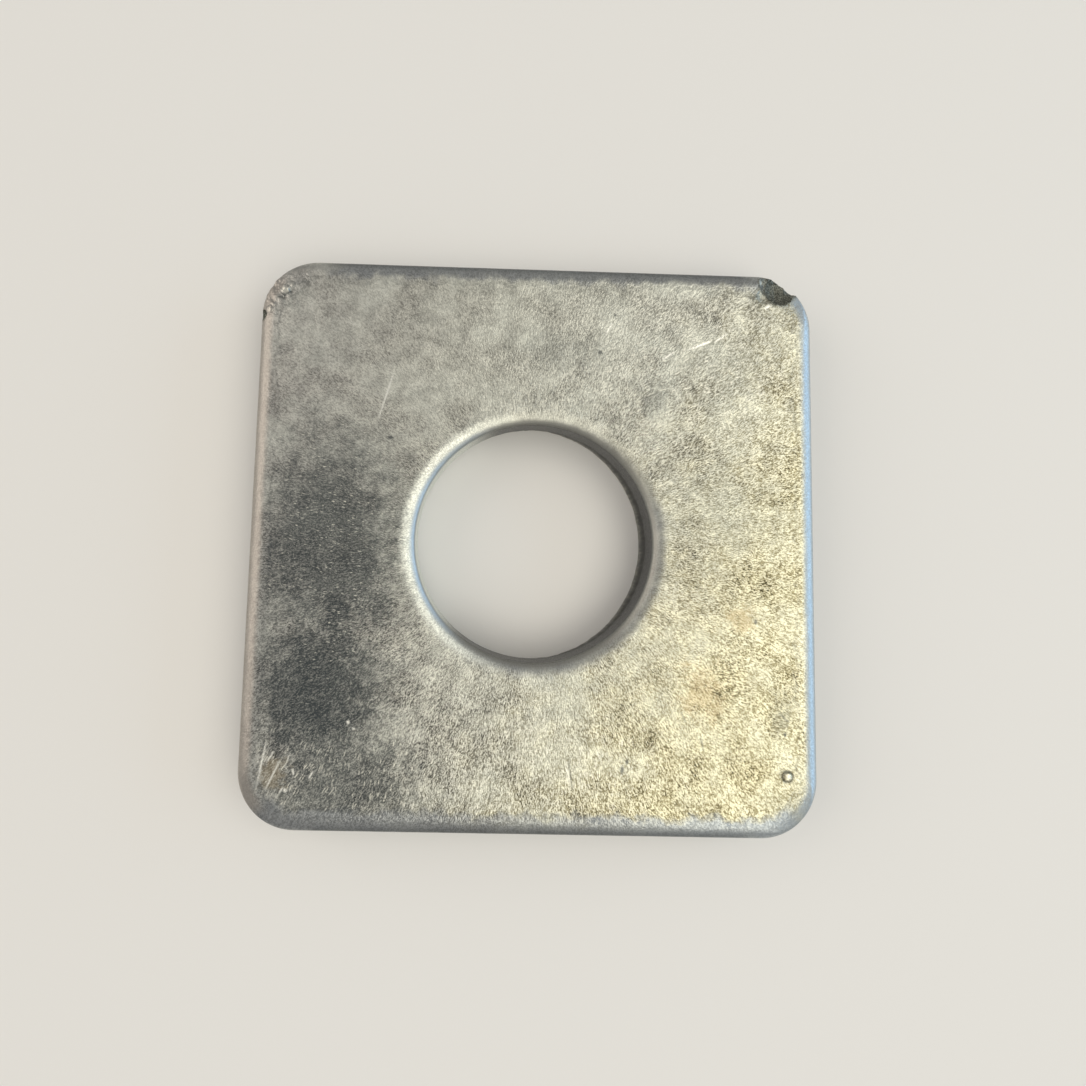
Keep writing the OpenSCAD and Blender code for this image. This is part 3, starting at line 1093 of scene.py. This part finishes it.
def finish_edges(tree, found, colour):
    """Greyer rolls with painted shade and reflections, painted shade and highlights round the hole
    and on the streaked band, a torn zone, the struck corner and the beads.
    """
    streaks = noise_of(tree, vector_of(tree, "MULTIPLY", found["place"], (5.0, 5.0, 0.5)),
                       1.0, 3.0)
    shade = ramp_of(tree, found["tone"], 0.1, 0.9, 0.70, 1.25)
    calm = ramp_of(tree, found["tone"], 0.1, 0.9, 0.88, 1.12)
    # painted shade for the rolls
    roll = scaled_by(tree, roll_painted_shade_grey, shade)
    lower_right = ramp_of(tree, minus(tree, found["x"], found["y"]), 20.0, 46.0)
    # painted reflections on the sides of the rolled edge
    side_colour = blend_of(tree, ramp_of(tree, found["x"], -1.0, 1.0), roll_painted_rosy_reflection, painted_blue_reflection)
    lit_side = found["lit_side"]
    layers = [
        # mask, strength, colour, from the lowest layer to the uppermost
        # painted shade on the rolled edge, and a painted pale reflection towards the lower right
        (found["roll_dirt"], 1.0,
         blend_of(tree, lower_right, roll, scaled_by(tree, roll_painted_pale_reflection, calm))),
        (found["side_roll"], 0.85,
         scaled_by(tree, side_colour, ramp_of(tree, found["tone"], 0, 1, 0.9, 1.1))),
        # painted shade on the outer rim
        (found["rim"], 1.0, rim_dark),
        (found["dark_arc"], 1.0, roll),
        # painted highlight on the hole's roll
        (found["rubbed_arc"], 1.0, scaled_by(tree, zinc_painted_highlight, shade)),
        # painted reflection and painted shade on the hole's rim
        (found["hole_rim"], 1.0, blend_of(tree, lit_side, hole_rim_brown, painted_blue_reflection)),
        # painted shade at the foot of the rolled edge
        (found["foot"], 0.42, dirt_and_painted_shade),
        # painted shade on the band, streaked
        (found["band"], 0.85,
         scaled_by(tree, band_painted_shade, ramp_of(tree, streaks, 0.35, 0.65, 0.75, 1.35))),
        (found["tear"], 0.85,
         blend_of(tree, ramp_of(tree, streaks, 0.40, 0.62), tear_grey, zinc_grey)),
        # painted shade on the hole's wall, and a painted highlight on its left
        (found["in_hole"], 0.92, blend_of(tree, lit_side, hole_wall_painted_shade, zinc_painted_highlight)),
        (found["struck"], 0.92,
         blend_of(tree, ramp_of(tree, found["specks"], 0.40, 0.66), struck_dark, struck_light)),
        # painted shade in the beads' rings and the folds
        (found["ring_and_fold_shade"], 0.75, dirt_and_painted_shade),
        (found["bead"], 0.60, zinc_bright),
    ]
    for mask, strength, layer_colour in layers:
        colour = blend_of(tree, times(tree, mask, strength), colour, layer_colour)
    return colour


# %% Roughness and height


def roughness_of(tree, found):
    """Smoother on the band and on bright grain, rougher in tears, cuts and dirt."""
    grain_gloss = ramp_of(tree, found["tone"], 0.2, 1.0, 0.50, 0.40)
    return sum_of(tree, [(grain_gloss, 1.0), (found["band"], -0.08), (found["tear"], 0.10),
                         (found["outline_roll"], -0.12), (found["hole_roll"], -0.10),
                         (found["dirt"], 0.15), (found["struck"], 0.35),
                         (found["scratched"], -0.15), (found["bead"], -0.10)])


def height_of(tree, found):
    """Height of the fine relief in millimetres."""
    grain = sum_of(tree, [(found["fine"], 0.009), (found["coarse"], 0.013),
                          (found["specks"], 0.012)])
    return times(tree, grain, ramp_of(tree, found["near_edge"], 0.2, 1.6, 0.30, 1.0))


# %% Build the zinc material


def make_zinc():
    """The whole finish of the washer."""
    material = bpy.data.materials.new("zinc")
    material.use_nodes = True
    tree = material.node_tree
    tree.nodes.clear()
    output = tree.nodes.new("ShaderNodeOutputMaterial")
    shader = tree.nodes.new("ShaderNodeBsdfPrincipled")
    shader.inputs["Metallic"].default_value = 0.9
    tree.links.new(shader.outputs[0], output.inputs[0])
    found = read_surface(tree)
    edge_masks(tree, found)
    colour = lay_marks(tree, found, bare_zinc(tree, found))
    colour = finish_edges(tree, found, colour)
    tree.links.new(colour, shader.inputs["Base Color"])
    tree.links.new(roughness_of(tree, found), shader.inputs["Roughness"])
    bump = add_node(tree, "ShaderNodeBump", {"Height": height_of(tree, found),
                                             "Distance": mm, "Strength": 1.0})
    tree.links.new(bump.outputs[0], shader.inputs["Normal"])
    print("zinc has", len(tree.nodes), "nodes")
    return material


zinc = make_zinc()
washer.data.materials.clear()
washer.data.materials.append(zinc)

# %% [markdown]
# ## Stage, light and camera
# The floor is plain and pale. A large, slightly warm soft box stands high to the right, as the
# window did in the photograph. A blue one low down beside it is the sky that the right edge
# mirrors, and a weaker warm one fills from the left. The camera hangs close above the left half
# of the plate with a wide lens, so that it sees the hole's wall at the right and none of it at
# the left.

# %% Floor and light
bpy.ops.object.select_all(action="DESELECT")
bpy.ops.mesh.primitive_plane_add(size=1.6, location=(0, 0, 0))
floor = bpy.context.object
floor.name = "floor"
paper = bpy.data.materials.new("pale_paper")
paper.use_nodes = True
paper.node_tree.nodes["Principled BSDF"].inputs["Base Color"].default_value = (
    0.78, 0.77, 0.75, 1)
paper.node_tree.nodes["Principled BSDF"].inputs["Roughness"].default_value = 0.9
floor.data.materials.append(paper)


def soft_box(name, azimuth, elevation, width, height, brightness, colour):
    """A rectangular area lamp that faces the washer. A brightness of 1 is that of white paper."""
    distance = 0.6
    azimuth, elevation = math.radians(azimuth), math.radians(elevation)
    place = distance * Vector((math.cos(elevation) * math.cos(azimuth),
                               math.cos(elevation) * math.sin(azimuth), math.sin(elevation)))
    bpy.ops.object.light_add(type="AREA", location=place)
    lamp = bpy.context.object
    lamp.name = name
    lamp.data.shape = "RECTANGLE"
    lamp.data.size, lamp.data.size_y = width, height
    lamp.data.energy = brightness * math.pi * width * height
    lamp.data.color = colour
    lamp.rotation_euler = place.to_track_quat("Z", "Y").to_euler()
    return lamp


soft_box("window", -20, 63, 0.90, 0.50, 1.54, (1.0, 0.95, 0.82))
soft_box("sky", 3, 15, 0.7, 0.30, 1.60, (0.42, 0.69, 1.0))
soft_box("left_fill", 168, 32, 0.6, 0.45, 1.15, (1.0, 0.91, 0.82))
world = bpy.data.worlds.new("studio")
bpy.context.scene.world = world
world.use_nodes = True
world.node_tree.nodes["Background"].inputs["Color"].default_value = (1.0, 0.98, 0.95, 1)
world.node_tree.nodes["Background"].inputs["Strength"].default_value = 0.45

# %% Camera
image_size = 1086
focal_pixels = 643.0
aim_point = (491.0, 504.0)
rim_height = 4.2 * mm
tilt = [math.radians(angle) for angle in (-4.6, 1.0, -1.5)]
shift = Vector((3.8, -3.4, -57.2)) * mm

turn = (Matrix.Rotation(tilt[2], 4, "Z") @ Matrix.Rotation(tilt[1], 4, "Y")
        @ Matrix.Rotation(tilt[0], 4, "X"))
to_camera = Matrix.Translation(shift) @ turn @ Matrix.Translation((0, 0, -rim_height))
camera_data = bpy.data.cameras.new("camera")
camera = bpy.data.objects.new("camera", camera_data)
bpy.context.scene.collection.objects.link(camera)
camera.matrix_world = to_camera.inverted()
camera_data.sensor_width = 36
camera_data.lens = focal_pixels / image_size * camera_data.sensor_width
camera_data.shift_x = 0.5 - aim_point[0] / image_size
camera_data.shift_y = aim_point[1] / image_size - 0.5
camera_data.clip_start = mm
camera_data.clip_end = 10
bpy.context.scene.camera = camera
bpy.context.scene.view_settings.view_transform = "Standard"
print("camera at", [round(v / mm, 1) for v in camera.location], "mm, lens",
      round(camera_data.lens, 2))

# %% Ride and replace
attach(washer, "root")
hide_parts("plate_washer")
